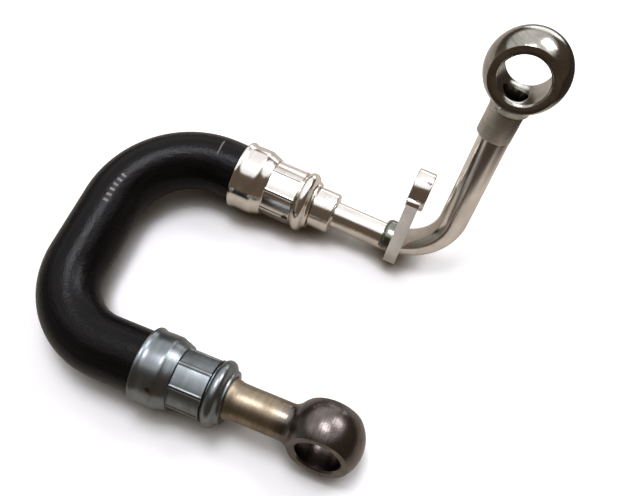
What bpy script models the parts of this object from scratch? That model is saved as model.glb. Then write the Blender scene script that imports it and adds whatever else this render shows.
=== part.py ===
"""Coolant line: a moulded U-shaped hose, crimped at both ends to banjo fittings.

The lower leg lies along +X on the floor, with its banjo at its end. The upper leg lies beside it and dips
towards its bracket, where its steel tube turns up to the second banjo. Lengths are in metres. The origin is
on the floor, in the middle of the object's footprint.
"""

import math

import bmesh
import bpy
from mathutils import Euler, Matrix, Vector

# The gap between two pieces that meet
CLEARANCE = 0.0003

# The legs, measured from the middle of the lower ferrule's lip
LEG_SPACING = 0.0642
UPPER_LIP_SET_BACK = 0.0020
UPPER_LIP_HEIGHT = 0.00035
UPPER_LEG_DROOP = math.radians(4.6)
UPPER_LEG_TOE_IN = math.radians(2.1)

# The hose
HOSE_RADIUS = 0.00885
HOSE_BORE_RADIUS = 0.0050
HOSE_REACH = 0.0333
LOWER_BEND_RADIUS = 0.0200
UPPER_BEND_RADIUS = 0.0249
HOSE_INSERTION = 0.0175
HOSE_TAPER_START = 0.0055
HOSE_TAPER_END = 0.0080

# The crimped ferrules, with lengths along the leg from the middle of the lip
FERRULE_WALL = 0.0009
LIP_OVERHANG = 0.0006
LIP_RADIUS = 0.0105
LIP_LENGTH = 0.0015
BAND_RADIUS = 0.01015
BAND_END = 0.0068
CRIMP_START = 0.0094
CRIMP_END = 0.0174
CRIMP_RIDGE_RADIUS = 0.0088
CRIMP_FLAT_RADIUS = 0.0082
CRIMP_FLATS = 8
GROOVE_POSITION = 0.0188
GROOVE_RADIUS = 0.00775
BEAD_POSITION = 0.0210
BEAD_RADIUS = 0.00915
BEAD_HALF_LENGTH = 0.0014
FERRULE_END = 0.0236
SHOULDER_RADIUS = 0.0068

# The barbed tails inside the hose
TAIL_START = 0.0015
PASSAGE_RADIUS = 0.0029
BARB_HEIGHT = 0.0005
BARB_PITCH = 0.0052
BARB_COUNT = 3
TAIL_NECK_RADIUS = 0.0050
STOP_RING_RADIUS = 0.0065
STOP_RING_LENGTH = 0.0018

# The lower fitting past its stop ring
SHANK_RADIUS = 0.0051
NECK_START = 0.0370
LOWER_BALL_POSITION = 0.0507

# The banjo heads
BALL_RADIUS = 0.0104
FACE_HALF_WIDTH = 0.0062
BANJO_BORE_RADIUS = 0.0061
BANJO_CHAMFER = 0.00035
NECK_FILLET_RADIUS = 0.0030
LOWER_BORE_TILT = math.radians(17.0)
UPPER_BORE_YAW = math.radians(1.6)

# The collar on the upper nipple
COLLAR_RADIUS = 0.0062
COLLAR_END = 0.0305
COLLAR_ROUNDING = 0.0008
SOCKET_DEPTH = 0.0050

# The steel tube
TUBE_RADIUS = 0.0040
TUBE_WALL = 0.0010
TUBE_CORNER = 0.0632
TUBE_BEND_RADIUS = 0.0160
TUBE_RISE_ANGLE = math.radians(67.8)

# The upper banjo's neck, measured from its ball's centre
UPPER_BALL_DISTANCE = 0.0633
UPPER_NECK_LENGTH = 0.0198
UPPER_NECK_RADIUS = 0.0048

# The bracket, with lengths along the upper leg
PLATE_START = 0.0493
PLATE_THICKNESS = 0.0036
PLATE_ANGLE = math.radians(57.5)
PLATE_LOBE_RADIUS = 0.0067
PLATE_HALF_WIDTH = 0.0050
HALF_COLLAR_RADIUS = 0.0056
HALF_COLLAR_LENGTH = 0.0041
HALF_COLLAR_HALF_ANGLE = math.radians(100)
BUSH_DISTANCE = 0.0185
BUSH_RADIUS = 0.0058
BUSH_BORE_RADIUS = 0.0033
BUSH_LENGTH = 0.0052
BUSH_SET_BACK = 0.0004
BUSH_CHAMFER = 0.0003

# How finely round shapes are divided
ROUND_STEPS = 32
HOSE_SIDES = 24
TUBE_SIDES = 20
BEND_STEPS = 10
BALL_STEPS = 14
FILLET_STEPS = 4
OUTLINE_STEPS = 16
SHARP_ANGLE = math.radians(35)

# How far a cutter runs past what it cuts
CUTTER_OVERRUN = 0.0010
MERGE_DISTANCE = 0.00001

ALONG_LEG = Vector((1, 0, 0))


def clear_scene():
    for obj in list(bpy.data.objects):
        bpy.data.objects.remove(obj, do_unlink=True)


def new_collection(name, hidden):
    collection = bpy.data.collections.new(name)
    bpy.context.scene.collection.children.link(collection)
    collection.hide_render = hidden
    return collection


def new_material(name, colour, roughness, metallic):
    material = bpy.data.materials.new(name)
    material.use_nodes = True
    surface = material.node_tree.nodes["Principled BSDF"]
    surface.inputs["Base Color"].default_value = (*colour, 1.0)
    surface.inputs["Roughness"].default_value = roughness
    surface.inputs["Metallic"].default_value = metallic
    return material


def new_empty(name, parent, location, rotation):
    empty = bpy.data.objects.new(name, None)
    parts.objects.link(empty)
    empty.parent = parent
    empty.location = location
    empty.rotation_euler = rotation
    return empty


def axis_frame(origin, axis, side):
    """A placement with local Z along the axis and local X towards the side direction."""
    z_axis = axis.normalized()
    y_axis = z_axis.cross(side).normalized()
    x_axis = y_axis.cross(z_axis)
    turn = Matrix((x_axis, y_axis, z_axis)).transposed().to_4x4()
    return Matrix.Translation(origin) @ turn


def add_object(name, data, parent, placement, material=None):
    obj = bpy.data.objects.new(name, data)
    if material is None:
        cutters.objects.link(obj)
        obj.hide_render = True
        obj.display_type = "WIRE"
    else:
        parts.objects.link(obj)
        data.materials.append(material)
    obj.parent = parent
    obj.matrix_basis = placement
    return obj


def turned(name, profile, parent, placement, material=None, steps=ROUND_STEPS, closed=True):
    """A solid of revolution about local Z, or its open skin, from (radius, height) down its outer side."""
    mesh = bpy.data.meshes.new(name)
    count = len(profile)
    on_axis = profile[0][0] == 0 and profile[-1][0] == 0
    edges = [(index, index + 1) for index in range(count - 1)]
    if closed and not on_axis:
        edges.append((count - 1, 0))
    mesh.from_pydata([(radius, 0, height) for radius, height in profile], edges, [])
    obj = add_object(name, mesh, parent, placement, material)
    screw = obj.modifiers.new("Turn", "SCREW")
    screw.steps = steps
    screw.render_steps = steps
    screw.use_merge_vertices = True
    screw.merge_threshold = MERGE_DISTANCE
    screw.use_smooth_shade = True
    return obj


def evaluated_mesh(obj):
    """The object's mesh with its modifiers or its curve applied, and its loose seams closed."""
    bpy.context.view_layer.update()
    graph = bpy.context.evaluated_depsgraph_get()
    mesh = bpy.data.meshes.new_from_object(obj.evaluated_get(graph))
    shape = bmesh.new()
    shape.from_mesh(mesh)
    bmesh.ops.remove_doubles(shape, verts=shape.verts, dist=MERGE_DISTANCE)
    shape.to_mesh(mesh)
    shape.free()
    mesh.shade_smooth()
    mesh.set_sharp_from_angle(angle=SHARP_ANGLE)
    return mesh


def made_mesh(obj):
    """Swaps a curve, or an object with modifiers, for a mesh object of the same name, place and material."""
    mesh = evaluated_mesh(obj)
    name, parent, placement = obj.name, obj.parent, obj.matrix_basis.copy()
    is_part = obj.name in parts.objects
    material = obj.data.materials[0] if is_part else None
    bpy.data.objects.remove(obj, do_unlink=True)
    mesh.materials.clear()
    solid = add_object(name, mesh, parent, placement, material)
    solid.name = name
    return solid


def swept(name, route, radii, sides, parent, material=None, capped=True):
    """A round bar along the route, as a mesh. With no caps it is an open skin."""
    curve = bpy.data.curves.new(name, "CURVE")
    curve.dimensions = "3D"
    curve.bevel_depth = max(radii)
    curve.bevel_resolution = sides // 2 - 2
    curve.use_fill_caps = capped
    spline = curve.splines.new("POLY")
    spline.points.add(len(route) - 1)
    for point, place, radius in zip(spline.points, route, radii):
        point.co = (*place, 1.0)
        point.radius = radius / curve.bevel_depth
    return made_mesh(add_object(name, curve, parent, Matrix.Identity(4), material))


def slab(name, outline, thickness, parent, placement, material=None):
    """A flat outline in local X and Y, with its thickness to both sides of it along local Z."""
    curve = bpy.data.curves.new(name, "CURVE")
    curve.dimensions = "2D"
    curve.fill_mode = "BOTH"
    curve.extrude = thickness / 2
    spline = curve.splines.new("POLY")
    spline.points.add(len(outline) - 1)
    for point, (across, up) in zip(spline.points, outline):
        point.co = (across, up, 0.0, 1.0)
    spline.use_cyclic_u = True
    return made_mesh(add_object(name, curve, parent, placement, material))


def combine(obj, other, operation):
    boolean = obj.modifiers.new(operation.title(), "BOOLEAN")
    boolean.operation = operation
    boolean.solver = "EXACT"
    boolean.object = other


def arc(centre, radius, start, end, steps):
    """Points (across, up) on an arc, both ends included."""
    angles = [start + (end - start) * step / steps for step in range(steps + 1)]
    return [(centre[0] + radius * math.cos(a), centre[1] + radius * math.sin(a)) for a in angles]


def rounded_corner(before, corner, after, radius, steps=BEND_STEPS):
    """The points of a round bend of this radius that replaces the corner."""
    towards_before = (before - corner).normalized()
    towards_after = (after - corner).normalized()
    half_angle = towards_before.angle(towards_after) / 2
    tangent = radius / math.tan(half_angle)
    inwards = (towards_before + towards_after).normalized()
    centre = corner + inwards * (radius / math.sin(half_angle))
    first = corner + towards_before * tangent - centre
    turn_axis = first.cross(corner + towards_after * tangent - centre).normalized()
    sweep = math.pi - 2 * half_angle
    return [centre + Matrix.Rotation(sweep * step / steps, 3, turn_axis) @ first for step in range(steps + 1)]


def upper_leg_point(distance, across=0.0, height=0.0):
    """A point of the upper leg's own frame, seen in the frame of the lower leg."""
    turn = Euler((0, UPPER_LEG_DROOP, -UPPER_LEG_TOE_IN)).to_matrix()
    return UPPER_LIP + turn @ Vector((distance, across, height))


def along_leg(distance=0.0):
    """The placement of a turned piece that starts here and points along its leg."""
    return axis_frame(ALONG_LEG * distance, ALONG_LEG, Vector((0, 1, 0)))


def hose_route():
    """The hose's centre line and its outer radius at each point, with the crimped ends."""
    crimped = CRIMP_FLAT_RADIUS - FERRULE_WALL - CLEARANCE
    ends = [(HOSE_INSERTION, crimped), (HOSE_TAPER_END, crimped), (HOSE_TAPER_START, HOSE_RADIUS)]
    back = Vector((-HOSE_REACH, 0, 0))
    leg_direction = upper_leg_point(1.0) - UPPER_LIP
    upper_back = UPPER_LIP + leg_direction * ((-HOSE_REACH - UPPER_LIP.x) / leg_direction.x)
    route = [ALONG_LEG * distance for distance, _ in ends]
    route += rounded_corner(route[-1], back, upper_back, LOWER_BEND_RADIUS)
    route += rounded_corner(back, upper_back, UPPER_LIP, UPPER_BEND_RADIUS)
    route += [upper_leg_point(distance) for distance, _ in reversed(ends)]
    straight = [radius for _, radius in ends]
    radii = straight + [HOSE_RADIUS] * (2 * (BEND_STEPS + 1)) + straight[::-1]
    return route, radii


def make_hose():
    route, radii = hose_route()
    hose = swept("hose", route, radii, HOSE_SIDES, root, rubber)
    first_way = (route[0] - route[1]).normalized() * CUTTER_OVERRUN
    last_way = (route[-1] - route[-2]).normalized() * CUTTER_OVERRUN
    longer = [route[0] + first_way, *route[1:-1], route[-1] + last_way]
    bore = swept("hose_bore_cutter", longer, [HOSE_BORE_RADIUS] * len(longer), TUBE_SIDES, root)
    combine(hose, bore, "DIFFERENCE")


def ferrule_profile():
    """The outer side of a ferrule, from its lip to its inturned end, as (radius, distance along the leg)."""
    lip_middle = (LIP_LENGTH - LIP_OVERHANG) / 2
    bead_foot = BEAD_RADIUS - BEAD_HALF_LENGTH / 2
    inturned = TAIL_NECK_RADIUS + CLEARANCE
    return [
        (BAND_RADIUS, -LIP_OVERHANG),
        (LIP_RADIUS, lip_middle - LIP_LENGTH / 3),
        (LIP_RADIUS, lip_middle + LIP_LENGTH / 3),
        (BAND_RADIUS, LIP_LENGTH),
        (BAND_RADIUS, BAND_END),
        ((BAND_RADIUS + CRIMP_RIDGE_RADIUS) / 2, (BAND_END + CRIMP_START) / 2),
        (CRIMP_RIDGE_RADIUS, CRIMP_START),
        (CRIMP_RIDGE_RADIUS, CRIMP_END),
        (GROOVE_RADIUS, GROOVE_POSITION),
        (bead_foot, BEAD_POSITION - BEAD_HALF_LENGTH),
        (BEAD_RADIUS, BEAD_POSITION - BEAD_HALF_LENGTH / 2),
        (BEAD_RADIUS, BEAD_POSITION + BEAD_HALF_LENGTH / 2),
        (bead_foot, BEAD_POSITION + BEAD_HALF_LENGTH),
        (SHOULDER_RADIUS, FERRULE_END),
        (inturned, FERRULE_END),
    ]


def press_flats(mesh):
    """Presses the round crimp length in to its flats. The mesh's local Z runs along the leg."""
    pitch = 2 * math.pi / CRIMP_FLATS
    for vertex in mesh.vertices:
        if not CRIMP_START - MERGE_DISTANCE < vertex.co.z < CRIMP_END + MERGE_DISTANCE:
            continue
        angle = math.atan2(vertex.co.y, vertex.co.x)
        from_middle = angle - pitch * (math.floor(angle / pitch) + 0.5)
        radius = math.hypot(vertex.co.x, vertex.co.y)
        pressed = min(radius, CRIMP_FLAT_RADIUS / math.cos(from_middle))
        vertex.co.x *= pressed / radius
        vertex.co.y *= pressed / radius


def make_ferrule(name, leg):
    """A sleeve of even wall: an open turned skin, pressed flat where it is crimped, then given its wall."""
    skin = turned(name, ferrule_profile(), leg, along_leg(), zinc, closed=False)
    ferrule = made_mesh(skin)
    press_flats(ferrule.data)
    wall = ferrule.modifiers.new("Wall", "SOLIDIFY")
    wall.thickness = FERRULE_WALL
    wall.offset = 1.0
    wall.use_even_offset = True
    wall.use_rim = True
    return ferrule


def tail_profile():
    """The barbed tail's outer side, from its end to the stop ring, as (radius, distance along the leg)."""
    crest = HOSE_BORE_RADIUS - CLEARANCE
    root_radius = crest - BARB_HEIGHT
    points = [(root_radius, TAIL_START)]
    for barb in range(BARB_COUNT):
        end = TAIL_START + (barb + 1) * BARB_PITCH
        points += [(crest, end - BARB_HEIGHT), (crest, end), (root_radius, end)]
    collar_start = FERRULE_END + CLEARANCE
    inside = HOSE_INSERTION + CLEARANCE
    return points + [(root_radius, inside), (TAIL_NECK_RADIUS, inside), (TAIL_NECK_RADIUS, collar_start)]


def neck_into_ball(neck_radius, ball_centre):
    """The fillet from a straight neck to a ball, and the ball round to its far pole."""
    reach = BALL_RADIUS + NECK_FILLET_RADIUS
    height = neck_radius + NECK_FILLET_RADIUS
    back = math.sqrt(reach**2 - height**2)
    swing = math.atan2(back, height)
    fillet_centre = (ball_centre - back, height)
    fillet = arc(fillet_centre, NECK_FILLET_RADIUS, -math.pi / 2, -math.pi / 2 + swing, FILLET_STEPS)
    contact = math.pi / 2 + swing
    ball = arc((ball_centre, 0.0), BALL_RADIUS, contact, 0.0, BALL_STEPS)
    points = [(up, across) for across, up in fillet + ball[1:-1]]
    return points + [(0.0, ball_centre + BALL_RADIUS)]


def downwards(profile):
    """Turns a profile that runs up local Z into one that runs down it."""
    return profile[::-1]


def spool_cutter(name, parent, placement):
    """What a banjo loses: the bore, its two chamfers, and all beyond its two flat faces."""
    wide = BALL_RADIUS + CUTTER_OVERRUN
    mouth = BANJO_BORE_RADIUS + BANJO_CHAMFER
    upper = [
        (0.0, wide),
        (wide, wide),
        (wide, FACE_HALF_WIDTH),
        (mouth, FACE_HALF_WIDTH),
        (BANJO_BORE_RADIUS, FACE_HALF_WIDTH - BANJO_CHAMFER),
    ]
    lower = [(radius, -height) for radius, height in reversed(upper)]
    return turned(name, upper + lower, parent, placement)


def drill(name, parent, start, direction, length, radius):
    profile = [(0.0, length), (radius, length), (radius, 0.0), (0.0, 0.0)]
    side = Vector((0, 0, 1)) if abs(direction.z) < abs(direction.x) else Vector((1, 0, 0))
    return turned(name, profile, parent, axis_frame(start, direction, side), steps=TUBE_SIDES)


def make_lower_banjo_fitting():
    ring_start = FERRULE_END + CLEARANCE
    ring_end = ring_start + STOP_RING_LENGTH
    profile = [(0.0, TAIL_START), *tail_profile()]
    profile += [(STOP_RING_RADIUS, ring_start), (STOP_RING_RADIUS, ring_end), (SHANK_RADIUS, ring_end)]
    profile += [(SHANK_RADIUS, NECK_START), *neck_into_ball(SHANK_RADIUS, LOWER_BALL_POSITION)]
    fitting = turned("lower_banjo_fitting", downwards(profile), lower_leg, along_leg(), brass_steel)
    bore_axis = Vector((0, -math.cos(LOWER_BORE_TILT), math.sin(LOWER_BORE_TILT)))
    ball_centre = ALONG_LEG * LOWER_BALL_POSITION
    spool = spool_cutter("lower_spool_cutter", lower_leg, axis_frame(ball_centre, bore_axis, ALONG_LEG))
    combine(fitting, spool, "DIFFERENCE")
    start = ALONG_LEG * (TAIL_START - CUTTER_OVERRUN)
    length = LOWER_BALL_POSITION - start.x
    passage = drill("lower_passage_cutter", lower_leg, start, ALONG_LEG, length, PASSAGE_RADIUS)
    combine(fitting, passage, "DIFFERENCE")


def make_upper_nipple():
    """The second barbed tail, with the collar and the socket that takes the steel tube."""
    collar_start = FERRULE_END + CLEARANCE
    socket_floor = COLLAR_END - SOCKET_DEPTH
    socket_radius = TUBE_RADIUS + CLEARANCE
    outside = [*tail_profile(), (COLLAR_RADIUS, collar_start), (COLLAR_RADIUS, COLLAR_END - COLLAR_ROUNDING)]
    outside += [(COLLAR_RADIUS - COLLAR_ROUNDING, COLLAR_END)]
    inside = [(socket_radius, COLLAR_END), (socket_radius, socket_floor)]
    inside += [(PASSAGE_RADIUS, socket_floor), (PASSAGE_RADIUS, TAIL_START)]
    turned("upper_nipple", downwards(outside + inside), upper_leg, along_leg(), nickel)


def rise_direction():
    return Vector((0, math.cos(TUBE_RISE_ANGLE), math.sin(TUBE_RISE_ANGLE)))


def tube_route():
    """The steel tube's centre line in the upper leg's frame, from its socket to the upper banjo's neck."""
    start = ALONG_LEG * (COLLAR_END - SOCKET_DEPTH + CLEARANCE)
    corner = ALONG_LEG * TUBE_CORNER
    end = corner + rise_direction() * (UPPER_BALL_DISTANCE - UPPER_NECK_LENGTH - CLEARANCE)
    return [start, *rounded_corner(start, corner, end, TUBE_BEND_RADIUS), end]


def make_steel_tube():
    route = tube_route()
    tube = swept("steel_tube", route, [TUBE_RADIUS] * len(route), TUBE_SIDES, upper_leg, nickel, capped=False)
    wall = tube.modifiers.new("Wall", "SOLIDIFY")
    wall.thickness = TUBE_WALL
    wall.offset = -1.0
    wall.use_even_offset = True
    wall.use_rim = True


def plate_outline():
    """The plate's edge: a lobe round the tube, and a strip whose end follows the round of the bush."""
    shoulder = math.asin(PLATE_HALF_WIDTH / PLATE_LOBE_RADIUS)
    mouth_radius = BUSH_RADIUS + CLEARANCE
    mouth_angle = math.asin(PLATE_HALF_WIDTH / mouth_radius)
    lobe = arc((0.0, 0.0), PLATE_LOBE_RADIUS, shoulder, 2 * math.pi - shoulder, OUTLINE_STEPS)
    mouth_ends = math.pi + mouth_angle, math.pi - mouth_angle
    mouth = arc((BUSH_DISTANCE, 0.0), mouth_radius, *mouth_ends, OUTLINE_STEPS // 2)
    return lobe + mouth


def make_bracket_plate():
    strip_way = Vector((0, math.cos(PLATE_ANGLE), math.sin(PLATE_ANGLE)))
    middle = ALONG_LEG * (PLATE_START + PLATE_THICKNESS / 2)
    plate_frame = axis_frame(middle, ALONG_LEG, strip_way)
    plate = slab("bracket_plate", plate_outline(), PLATE_THICKNESS, upper_leg, plate_frame, nickel)
    # The half collar starts inside the plate, so that the two join into one body
    reach = HALF_COLLAR_LENGTH + PLATE_THICKNESS / 2
    collar_middle = ALONG_LEG * (PLATE_START - HALF_COLLAR_LENGTH + reach / 2)
    sector_ends = -HALF_COLLAR_HALF_ANGLE, HALF_COLLAR_HALF_ANGLE
    sector = arc((0.0, 0.0), HALF_COLLAR_RADIUS, *sector_ends, OUTLINE_STEPS)
    collar_frame = axis_frame(collar_middle, ALONG_LEG, strip_way)
    collar = slab("half_collar_joined", [(0.0, 0.0), *sector], reach, upper_leg, collar_frame)
    combine(plate, collar, "UNION")
    route = tube_route()
    hole_radii = [TUBE_RADIUS + CLEARANCE] * len(route)
    hole = swept("tube_hole_cutter", route, hole_radii, TUBE_SIDES, upper_leg)
    combine(plate, hole, "DIFFERENCE")


def make_bracket_bush():
    strip_way = Vector((0, math.cos(PLATE_ANGLE), math.sin(PLATE_ANGLE)))
    start = ALONG_LEG * (PLATE_START - BUSH_SET_BACK) + strip_way * BUSH_DISTANCE
    profile = [
        (BUSH_RADIUS - BUSH_CHAMFER, BUSH_LENGTH),
        (BUSH_RADIUS, BUSH_LENGTH - BUSH_CHAMFER),
        (BUSH_RADIUS, BUSH_CHAMFER),
        (BUSH_RADIUS - BUSH_CHAMFER, 0.0),
        (BUSH_BORE_RADIUS, 0.0),
        (BUSH_BORE_RADIUS, BUSH_LENGTH),
    ]
    turned("bracket_bush", profile, upper_leg, axis_frame(start, ALONG_LEG, strip_way), nickel)


def make_upper_banjo_eye():
    rise = rise_direction()
    ball_centre = ALONG_LEG * TUBE_CORNER + rise * UPPER_BALL_DISTANCE
    profile = [(0.0, -UPPER_NECK_LENGTH), (UPPER_NECK_RADIUS, -UPPER_NECK_LENGTH)]
    profile += neck_into_ball(UPPER_NECK_RADIUS, 0.0)
    eye_frame = axis_frame(ball_centre, rise, ALONG_LEG)
    eye = turned("upper_banjo_eye", downwards(profile), upper_leg, eye_frame, steel)
    across_rise = Vector((0, -rise.z, rise.y))
    bore_axis = across_rise * math.cos(UPPER_BORE_YAW) - ALONG_LEG * math.sin(UPPER_BORE_YAW)
    spool = spool_cutter("upper_spool_cutter", upper_leg, axis_frame(ball_centre, bore_axis, rise))
    combine(eye, spool, "DIFFERENCE")
    length = UPPER_NECK_LENGTH + CUTTER_OVERRUN
    passage = drill("upper_passage_cutter", upper_leg, ball_centre, -rise, length, PASSAGE_RADIUS)
    combine(eye, passage, "DIFFERENCE")


def stand_on_origin():
    """Moves everything so that the origin is on the floor, in the middle of the footprint."""
    bpy.context.view_layer.update()
    graph = bpy.context.evaluated_depsgraph_get()
    corners = []
    for obj in parts.objects:
        if obj.type == "MESH":
            mesh = obj.evaluated_get(graph).to_mesh()
            corners += [obj.matrix_world @ vertex.co for vertex in mesh.vertices]
    low = [min(corner[axis] for corner in corners) for axis in range(3)]
    high = [max(corner[axis] for corner in corners) for axis in range(3)]
    root.location = (-(low[0] + high[0]) / 2, -(low[1] + high[1]) / 2, -low[2])
    bpy.context.view_layer.update()


clear_scene()
parts = new_collection("coolant_line", hidden=False)
cutters = new_collection("cutters", hidden=True)

rubber = new_material("black rubber hose", (0.012, 0.011, 0.012), 0.55, 0.0)
zinc = new_material("zinc plated ferrule", (0.42, 0.44, 0.46), 0.38, 1.0)
brass_steel = new_material("yellow passivated steel", (0.38, 0.33, 0.26), 0.30, 1.0)
nickel = new_material("nickel plated steel", (0.60, 0.57, 0.53), 0.25, 1.0)
steel = new_material("bare turned steel", (0.36, 0.35, 0.32), 0.32, 1.0)

UPPER_LIP = Vector((-UPPER_LIP_SET_BACK, LEG_SPACING, UPPER_LIP_HEIGHT))
root = new_empty("coolant_line_root", None, (0, 0, 0), (0, 0, 0))
lower_leg = new_empty("lower_leg", root, (0, 0, 0), (0, 0, 0))
upper_leg = new_empty("upper_leg", root, UPPER_LIP, (0, UPPER_LEG_DROOP, -UPPER_LEG_TOE_IN))

make_hose()
make_ferrule("lower_ferrule", lower_leg)
make_ferrule("upper_ferrule", upper_leg)
make_lower_banjo_fitting()
make_upper_nipple()
make_steel_tube()
make_bracket_plate()
make_bracket_bush()
make_upper_banjo_eye()
stand_on_origin()
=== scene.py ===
"""Looks for the coolant line: a moulded hose crimped to two banjo fittings, on a white studio floor."""

import math

import bpy
from mathutils import Euler, Matrix, Vector


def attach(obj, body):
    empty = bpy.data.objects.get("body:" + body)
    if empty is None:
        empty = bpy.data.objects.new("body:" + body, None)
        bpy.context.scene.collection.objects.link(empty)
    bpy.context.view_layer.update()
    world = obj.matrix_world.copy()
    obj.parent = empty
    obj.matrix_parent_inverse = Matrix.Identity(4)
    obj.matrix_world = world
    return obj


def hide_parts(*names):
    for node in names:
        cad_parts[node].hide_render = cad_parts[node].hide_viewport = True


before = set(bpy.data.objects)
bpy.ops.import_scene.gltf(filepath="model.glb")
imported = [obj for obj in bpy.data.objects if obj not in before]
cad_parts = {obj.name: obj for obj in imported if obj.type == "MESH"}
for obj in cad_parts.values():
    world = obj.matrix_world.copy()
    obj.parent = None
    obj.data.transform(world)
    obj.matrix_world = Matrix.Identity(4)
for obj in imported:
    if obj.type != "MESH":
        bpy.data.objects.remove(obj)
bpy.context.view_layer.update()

MM = 0.001

# The lower leg starts at the middle of its ferrule's lip and runs along X. The upper leg has its own frame.
LOWER_LEG = Matrix.Translation(Vector((-17.392, -42.005, 10.571)) * MM)
UPPER_LIP = Vector((-2.0, 64.2, 0.35))
UPPER_LEG_TURN = Euler((0, math.radians(4.6), math.radians(-2.1))).to_matrix()
UPPER_LEG = LOWER_LEG @ Matrix.Translation(UPPER_LIP * MM) @ UPPER_LEG_TURN.to_4x4()
ALONG = Vector((1, 0, 0))

# Lengths in millimetres
HOSE_RADIUS = 8.82
HOSE_WALL = 3.85
HOSE_CRIMPED_RADIUS = 7.0
HOSE_REACH = 33.3
HOSE_INSERTION = 17.5
HOSE_TAPER_START = 4.0
HOSE_TAPER_END = 7.0
LEG_HALF_WIDTH = 15
LOWER_BEND_RADIUS = 20.0
UPPER_BEND_RADIUS = 24.9
BAND_END = 5.6
CRIMP_FLATS = 8
CRIMP_START = 9.6
CRIMP_END = 19.0
PANEL_HALF_ANGLE = math.radians(19.5)
PANEL_DISTANCE = 7.78
PANEL_ROUNDNESS = 0.45
RIDGE_RADIUS = 8.6
GROOVE_RADIUS = 7.8
BEAD_POSITION = 20.95
BEAD_HALF_LENGTH = 1.65
BEAD_HEIGHT = 1.44
FERRULE_END = 23.9
FERRULE_HOLE_RADIUS = 5.9
LOWER_ROLL = math.radians(-12.8)
UPPER_ROLL = math.radians(-6.9)
POCKET_PLACE = (17.7, -8.3, 1.0)
POCKET_HALF_SIZE = (1.15, 0.6, 0.75)
TAIL_START = 1.5
TAIL_RADIUS = 4.2
BARB_PITCH = 5.2
BARB_RADIUS = 4.7
BARB_COUNT = 3
TAIL_NECK_START = 17.8
TAIL_NECK_RADIUS = 5.0
FLANGE_START = 22.4
SHANK_RADIUS = 5.1
SHANK_END = 36.0
LOWER_BALL_POSITION = 50.7
BALL_RADIUS = 10.36
FACE_HALF_WIDTH = 6.2
BANJO_BORE_RADIUS = 6.1
BANJO_CHAMFER = 0.45
NECK_FILLET_RADIUS = 3.0
PASSAGE_RADIUS = 2.9
UPPER_PASSAGE_RADIUS = 3.3
LOWER_BORE_TILT = math.radians(17.0)
UPPER_BORE_YAW = math.radians(1.6)
COLLAR_RADIUS = 6.2
COLLAR_END = 30.5
COLLAR_ROUNDING = 0.5
SOCKET_START = 25.5
TUBE_RADIUS = 4.0
TUBE_WALL = 1.0
TUBE_START = 27.0
TUBE_CORNER = 63.2
TUBE_BEND_RADIUS = 16.0
TUBE_RISE_ANGLE = math.radians(67.8)
TUBE_IN_NECK = 3.0
UPPER_BALL_DISTANCE = 63.3
UPPER_NECK_LENGTH = 18.8
UPPER_NECK_RADIUS = 4.6
UPPER_NECK_LEAN = math.radians(1.6)
PLATE_START = 49.3
PLATE_THICKNESS = 3.6
PLATE_ANGLE = math.radians(57.5)
PLATE_LOBE_RADIUS = 6.6
PLATE_HALF_WIDTH = 6.6
STRIP_LENGTH = 17.8
STRIP_CORNER = 2.1
HALF_COLLAR_RADIUS = 5.6
HALF_COLLAR_LENGTH = 3.1
HALF_COLLAR_ROUNDING = 1.7
HALF_COLLAR_CUT = 1.0
BUSH_DISTANCE = 18.5
BUSH_RADIUS = 5.75
BUSH_BORE_RADIUS = 3.3
BUSH_LENGTH = 5.2
BUSH_SET_BACK = 0.4
BUSH_ROUNDING = 0.4
BUSH_CHAMFER = 0.3

# Directions in the upper leg's frame: up the rising tube, and along the bracket's strip to the bush
RISE = Vector((0, math.cos(TUBE_RISE_ANGLE), math.sin(TUBE_RISE_ANGLE)))
STRIP_WAY = Vector((0, math.cos(PLATE_ANGLE), math.sin(PLATE_ANGLE)))
BALL_CENTRE = Vector((TUBE_CORNER, 0, 0)) + RISE * UPPER_BALL_DISTANCE

# Marks on the hose: along it, over its top and towards the inside of the U, as note_hose_way writes them
TICKS_MIDDLE = (83.8, 8.0, 1.75)
TICKS_HALF_SIZE = (5.7, 1.5, 0.75)
TICK_PITCH = 1.9
TICK_HALF_SHARE = 0.20
SCUFF_MIDDLE = (119.6, 7.5, -1.1)
SCUFF_HALF_SIZE = (0.22, 3.0, 2.8)
# How far apart the fine weave, the wrapping tape's bands and the cloudy tone lie along the hose and round it
WEAVE_SIZE = (0.6, 0.8)
BAND_SIZE = (2.6, 40)
CLOUD_SIZE = (14, 9)

# How finely round shapes are divided
TURN_STEPS = 128
FERRULE_STEPS = 192
HOSE_SIDES = 96
PLATE_SIDES = 96
TUBE_SIDES = 64
PASSAGE_SIDES = 64

SMOOTH_ANGLE = math.radians(32)
SEAM = 0.002 * MM
MIX_COLOURS = {"data_type": "RGBA"}

# Directions on the floor as the picture shows them
PICTURE_RIGHT = Vector((0.9255, 0.3788, 0.0))
PICTURE_UP = Vector((-0.3788, 0.9255, 0.0))

# The camera that was fitted to the picture
CAMERA_PLACE = Vector((44.561, -77.150, 187.274))
CAMERA_RIGHT = Vector((0.9255, 0.3788, 0.0003))
CAMERA_BACK = Vector((0.1733, -0.4241, 0.8889))
CAMERA_LENS = 39.197
CAMERA_SENSOR = 36.0

# The paper's middle and size in metres. It lies a hair below the object.
FLOOR_MIDDLE = (0, -0.065, -0.00005)
FLOOR_SIZE = (0.6, 0.47, 1)
# The paper and the backdrop as the camera sees them. Past 1 they stay white.
BACKDROP = (1.15, 1.15, 1.15, 1)
PAPER_NEAR = (1.22, 1.22, 1.22, 1)
PAPER_FAR = (1.9, 1.9, 1.9, 1)
# Close under the object a darker brown shadow is painted into the paper
PAINTED_SHADOW_REACH = 7.5
PAINTED_SHADOW_TONE = (0.20, 0.16, 0.115, 1)

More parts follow.
